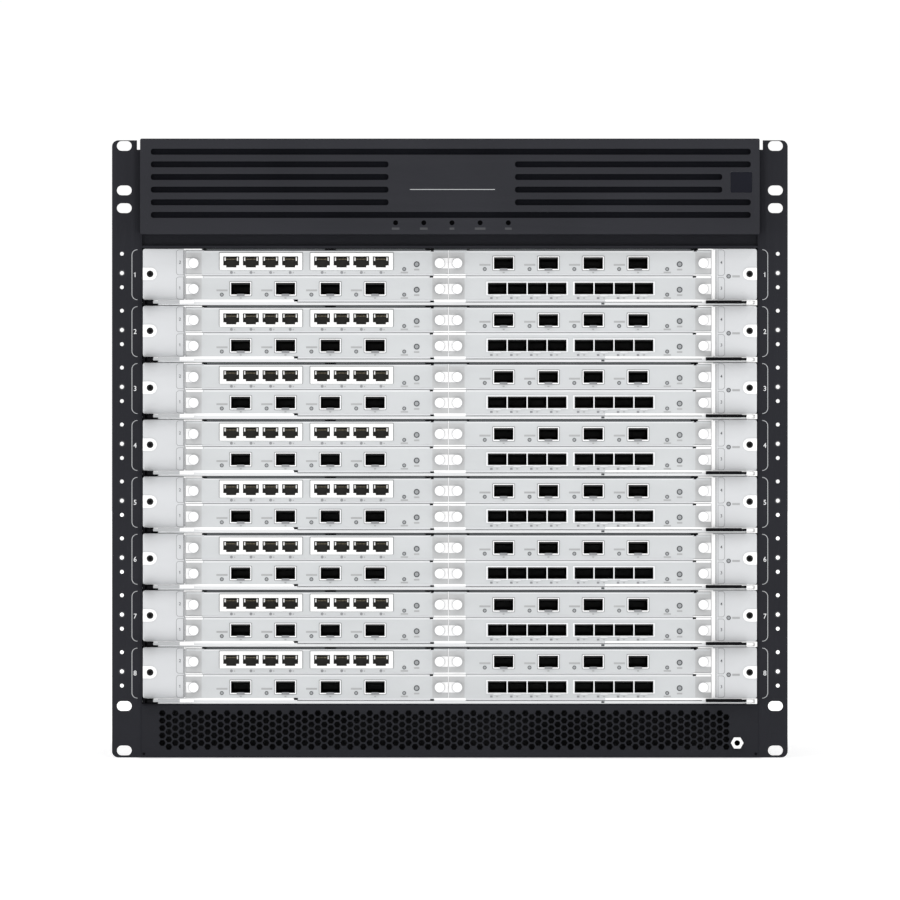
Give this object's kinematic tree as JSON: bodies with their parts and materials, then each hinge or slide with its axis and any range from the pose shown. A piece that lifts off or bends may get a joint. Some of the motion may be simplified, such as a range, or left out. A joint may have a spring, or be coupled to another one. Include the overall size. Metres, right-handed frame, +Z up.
{
  "type": "modular core router",
  "caption": "Rack-mount modular router chassis with sliding line cards, interface modules, power supplies, controllers and fans.",
  "frame": {"origin": "middle of the chassis's underside", "axes": "+X to the right seen from the front, +Y from the front to the back, +Z up"},
  "size_m": [0.4826, 0.6038, 0.4418],
  "materials": {
    "chassis_paint": "fine powder coat, charcoal",
    "guide_steel": "zinc-plated sheet",
    "fascia_paint": "fine powder coat, charcoal",
    "lamp_plastic": "smoked lamp strip, unlit",
    "grille_paint": "fine powder coat, near black",
    "nickel": "nickel plate",
    "board_green": "circuit board lacquer",
    "filter_foam": "open-cell foam",
    "lever_grey": "moulded, light grey",
    "lever_black": "moulded, black",
    "card_steel": "satin light grey",
    "module_steel": "satin light grey",
    "rear_steel": "zinc-plated sheet",
    "fan_plastic": "moulded, black"
  },
  "bodies": {
    "chassis": {"chassis_shell": "chassis_paint", "rack_ears": "chassis_paint", "card_guides": "guide_steel", "top_fascia": "fascia_paint", "status_lamps": "lamp_plastic", "intake_grille": "grille_paint", "esd_socket": "nickel", "midplane": "board_green", "rear_frame": "chassis_paint", "air_filter": "filter_foam"},
    "line_card_1": {"line_card_1": "card_steel"},
    "module_1_upper_left": {"module_1_upper_left": "module_steel"},
    "module_1_lower_left": {"module_1_lower_left": "module_steel"},
    "module_1_upper_right": {"module_1_upper_right": "module_steel"},
    "module_1_lower_right": {"module_1_lower_right": "module_steel"},
    "line_card_2": {"line_card_2": "card_steel"},
    "module_2_upper_left": {"module_2_upper_left": "module_steel"},
    "module_2_lower_left": {"module_2_lower_left": "module_steel"},
    "module_2_upper_right": {"module_2_upper_right": "module_steel"},
    "module_2_lower_right": {"module_2_lower_right": "module_steel"},
    "line_card_3": {"line_card_3": "card_steel"},
    "module_3_upper_left": {"module_3_upper_left": "module_steel"},
    "module_3_lower_left": {"module_3_lower_left": "module_steel"},
    "module_3_upper_right": {"module_3_upper_right": "module_steel"},
    "module_3_lower_right": {"module_3_lower_right": "module_steel"},
    "line_card_4": {"line_card_4": "card_steel"},
    "module_4_upper_left": {"module_4_upper_left": "module_steel"},
    "module_4_lower_left": {"module_4_lower_left": "module_steel"},
    "module_4_upper_right": {"module_4_upper_right": "module_steel"},
    "module_4_lower_right": {"module_4_lower_right": "module_steel"},
    "line_card_5": {"line_card_5": "card_steel"},
    "module_5_upper_left": {"module_5_upper_left": "module_steel"},
    "module_5_lower_left": {"module_5_lower_left": "module_steel"},
    "module_5_upper_right": {"module_5_upper_right": "module_steel"},
    "module_5_lower_right": {"module_5_lower_right": "module_steel"},
    "line_card_6": {"line_card_6": "card_steel"},
    "module_6_upper_left": {"module_6_upper_left": "module_steel"},
    "module_6_lower_left": {"module_6_lower_left": "module_steel"},
    "module_6_upper_right": {"module_6_upper_right": "module_steel"},
    "module_6_lower_right": {"module_6_lower_right": "module_steel"},
    "line_card_7": {"line_card_7": "card_steel"},
    "module_7_upper_left": {"module_7_upper_left": "module_steel"},
    "module_7_lower_left": {"module_7_lower_left": "module_steel"},
    "module_7_upper_right": {"module_7_upper_right": "module_steel"},
    "module_7_lower_right": {"module_7_lower_right": "module_steel"},
    "line_card_8": {"line_card_8": "card_steel"},
    "module_8_upper_left": {"module_8_upper_left": "module_steel"},
    "module_8_lower_left": {"module_8_lower_left": "module_steel"},
    "module_8_upper_right": {"module_8_upper_right": "module_steel"},
    "module_8_lower_right": {"module_8_lower_right": "module_steel"},
    "ejector_lever_left": {"ejector_lever_left": "lever_grey"},
    "ejector_lever_right": {"ejector_lever_right": "lever_black"},
    "power_supply_1": {"power_supply_1": "rear_steel"},
    "control_module_1": {"control_module_1": "rear_steel"},
    "power_supply_2": {"power_supply_2": "rear_steel"},
    "control_module_2": {"control_module_2": "rear_steel"},
    "fan_tray": {"fan_tray": "rear_steel"},
    "fan_rotor_1": {"fan_rotor_1": "fan_plastic"},
    "fan_rotor_2": {"fan_rotor_2": "fan_plastic"},
    "fan_rotor_3": {"fan_rotor_3": "fan_plastic"}
  },
  "joints": [
    {"name": "line_card_1_slide", "type": "slide", "parent": "chassis", "child": "line_card_1", "axis": [0, -1, 0], "range_m": [0, 0.318]},
    {"name": "module_1_upper_left_slide", "type": "slide", "parent": "line_card_1", "child": "module_1_upper_left", "axis": [0, -1, 0], "range_m": [0, 0.198]},
    {"name": "module_1_lower_left_slide", "type": "slide", "parent": "line_card_1", "child": "module_1_lower_left", "axis": [0, -1, 0], "range_m": [0, 0.198]},
    {"name": "module_1_upper_right_slide", "type": "slide", "parent": "line_card_1", "child": "module_1_upper_right", "axis": [0, -1, 0], "range_m": [0, 0.198]},
    {"name": "module_1_lower_right_slide", "type": "slide", "parent": "line_card_1", "child": "module_1_lower_right", "axis": [0, -1, 0], "range_m": [0, 0.198]},
    {"name": "ejector_lever_left_swing", "type": "hinge", "parent": "line_card_1", "child": "ejector_lever_left", "pos_m": [-0.2147, -0.2836, 0.32385], "axis": [0, 0, -1], "range_deg": [0, 55]},
    {"name": "ejector_lever_right_swing", "type": "hinge", "parent": "line_card_1", "child": "ejector_lever_right", "pos_m": [0.2147, -0.2836, 0.32385], "axis": [0, 0, 1], "range_deg": [0, 55]},
    {"name": "power_supply_1_slide", "type": "slide", "parent": "chassis", "child": "power_supply_1", "axis": [0, 1, 0], "range_m": [0, 0.2388]},
    {"name": "control_module_1_slide", "type": "slide", "parent": "chassis", "child": "control_module_1", "axis": [0, 1, 0], "range_m": [0, 0.2388]},
    {"name": "power_supply_2_slide", "type": "slide", "parent": "chassis", "child": "power_supply_2", "axis": [0, 1, 0], "range_m": [0, 0.2388]},
    {"name": "control_module_2_slide", "type": "slide", "parent": "chassis", "child": "control_module_2", "axis": [0, 1, 0], "range_m": [0, 0.2388]},
    {"name": "fan_tray_slide", "type": "slide", "parent": "chassis", "child": "fan_tray", "axis": [0, 1, 0], "range_m": [0, 0.0483]},
    {"name": "fan_rotor_1_spin", "type": "hinge", "parent": "fan_tray", "child": "fan_rotor_1", "pos_m": [-0.134, 0.2383, 0.3636], "axis": [0, 1, 0], "continuous": true},
    {"name": "fan_rotor_2_spin", "type": "hinge", "parent": "fan_tray", "child": "fan_rotor_2", "pos_m": [0, 0.2383, 0.3636], "axis": [0, 1, 0], "continuous": true},
    {"name": "fan_rotor_3_spin", "type": "hinge", "parent": "fan_tray", "child": "fan_rotor_3", "pos_m": [0.134, 0.2383, 0.3636], "axis": [0, 1, 0], "continuous": true},
    {"name": "line_card_2_slide", "type": "slide", "parent": "chassis", "child": "line_card_2", "axis": [0, -1, 0], "range_m": [0, 0.318]},
    {"name": "module_2_upper_left_slide", "type": "slide", "parent": "line_card_2", "child": "module_2_upper_left", "axis": [0, -1, 0], "range_m": [0, 0.198]},
    {"name": "module_2_lower_left_slide", "type": "slide", "parent": "line_card_2", "child": "module_2_lower_left", "axis": [0, -1, 0], "range_m": [0, 0.198]},
    {"name": "module_2_upper_right_slide", "type": "slide", "parent": "line_card_2", "child": "module_2_upper_right", "axis": [0, -1, 0], "range_m": [0, 0.198]},
    {"name": "module_2_lower_right_slide", "type": "slide", "parent": "line_card_2", "child": "module_2_lower_right", "axis": [0, -1, 0], "range_m": [0, 0.198]},
    {"name": "line_card_3_slide", "type": "slide", "parent": "chassis", "child": "line_card_3", "axis": [0, -1, 0], "range_m": [0, 0.318]},
    {"name": "module_3_upper_left_slide", "type": "slide", "parent": "line_card_3", "child": "module_3_upper_left", "axis": [0, -1, 0], "range_m": [0, 0.198]},
    {"name": "module_3_lower_left_slide", "type": "slide", "parent": "line_card_3", "child": "module_3_lower_left", "axis": [0, -1, 0], "range_m": [0, 0.198]},
    {"name": "module_3_upper_right_slide", "type": "slide", "parent": "line_card_3", "child": "module_3_upper_right", "axis": [0, -1, 0], "range_m": [0, 0.198]},
    {"name": "module_3_lower_right_slide", "type": "slide", "parent": "line_card_3", "child": "module_3_lower_right", "axis": [0, -1, 0], "range_m": [0, 0.198]},
    {"name": "line_card_4_slide", "type": "slide", "parent": "chassis", "child": "line_card_4", "axis": [0, -1, 0], "range_m": [0, 0.318]},
    {"name": "module_4_upper_left_slide", "type": "slide", "parent": "line_card_4", "child": "module_4_upper_left", "axis": [0, -1, 0], "range_m": [0, 0.198]},
    {"name": "module_4_lower_left_slide", "type": "slide", "parent": "line_card_4", "child": "module_4_lower_left", "axis": [0, -1, 0], "range_m": [0, 0.198]},
    {"name": "module_4_upper_right_slide", "type": "slide", "parent": "line_card_4", "child": "module_4_upper_right", "axis": [0, -1, 0], "range_m": [0, 0.198]},
    {"name": "module_4_lower_right_slide", "type": "slide", "parent": "line_card_4", "child": "module_4_lower_right", "axis": [0, -1, 0], "range_m": [0, 0.198]},
    {"name": "line_card_5_slide", "type": "slide", "parent": "chassis", "child": "line_card_5", "axis": [0, -1, 0], "range_m": [0, 0.318]},
    {"name": "module_5_upper_left_slide", "type": "slide", "parent": "line_card_5", "child": "module_5_upper_left", "axis": [0, -1, 0], "range_m": [0, 0.198]},
    {"name": "module_5_lower_left_slide", "type": "slide", "parent": "line_card_5", "child": "module_5_lower_left", "axis": [0, -1, 0], "range_m": [0, 0.198]},
    {"name": "module_5_upper_right_slide", "type": "slide", "parent": "line_card_5", "child": "module_5_upper_right", "axis": [0, -1, 0], "range_m": [0, 0.198]},
    {"name": "module_5_lower_right_slide", "type": "slide", "parent": "line_card_5", "child": "module_5_lower_right", "axis": [0, -1, 0], "range_m": [0, 0.198]},
    {"name": "line_card_6_slide", "type": "slide", "parent": "chassis", "child": "line_card_6", "axis": [0, -1, 0], "range_m": [0, 0.318]},
    {"name": "module_6_upper_left_slide", "type": "slide", "parent": "line_card_6", "child": "module_6_upper_left", "axis": [0, -1, 0], "range_m": [0, 0.198]},
    {"name": "module_6_lower_left_slide", "type": "slide", "parent": "line_card_6", "child": "module_6_lower_left", "axis": [0, -1, 0], "range_m": [0, 0.198]},
    {"name": "module_6_upper_right_slide", "type": "slide", "parent": "line_card_6", "child": "module_6_upper_right", "axis": [0, -1, 0], "range_m": [0, 0.198]},
    {"name": "module_6_lower_right_slide", "type": "slide", "parent": "line_card_6", "child": "module_6_lower_right", "axis": [0, -1, 0], "range_m": [0, 0.198]},
    {"name": "line_card_7_slide", "type": "slide", "parent": "chassis", "child": "line_card_7", "axis": [0, -1, 0], "range_m": [0, 0.318]},
    {"name": "module_7_upper_left_slide", "type": "slide", "parent": "line_card_7", "child": "module_7_upper_left", "axis": [0, -1, 0], "range_m": [0, 0.198]},
    {"name": "module_7_lower_left_slide", "type": "slide", "parent": "line_card_7", "child": "module_7_lower_left", "axis": [0, -1, 0], "range_m": [0, 0.198]},
    {"name": "module_7_upper_right_slide", "type": "slide", "parent": "line_card_7", "child": "module_7_upper_right", "axis": [0, -1, 0], "range_m": [0, 0.198]},
    {"name": "module_7_lower_right_slide", "type": "slide", "parent": "line_card_7", "child": "module_7_lower_right", "axis": [0, -1, 0], "range_m": [0, 0.198]},
    {"name": "line_card_8_slide", "type": "slide", "parent": "chassis", "child": "line_card_8", "axis": [0, -1, 0], "range_m": [0, 0.318]},
    {"name": "module_8_upper_left_slide", "type": "slide", "parent": "line_card_8", "child": "module_8_upper_left", "axis": [0, -1, 0], "range_m": [0, 0.198]},
    {"name": "module_8_lower_left_slide", "type": "slide", "parent": "line_card_8", "child": "module_8_lower_left", "axis": [0, -1, 0], "range_m": [0, 0.198]},
    {"name": "module_8_upper_right_slide", "type": "slide", "parent": "line_card_8", "child": "module_8_upper_right", "axis": [0, -1, 0], "range_m": [0, 0.198]},
    {"name": "module_8_lower_right_slide", "type": "slide", "parent": "line_card_8", "child": "module_8_lower_right", "axis": [0, -1, 0], "range_m": [0, 0.198]}
  ]
}
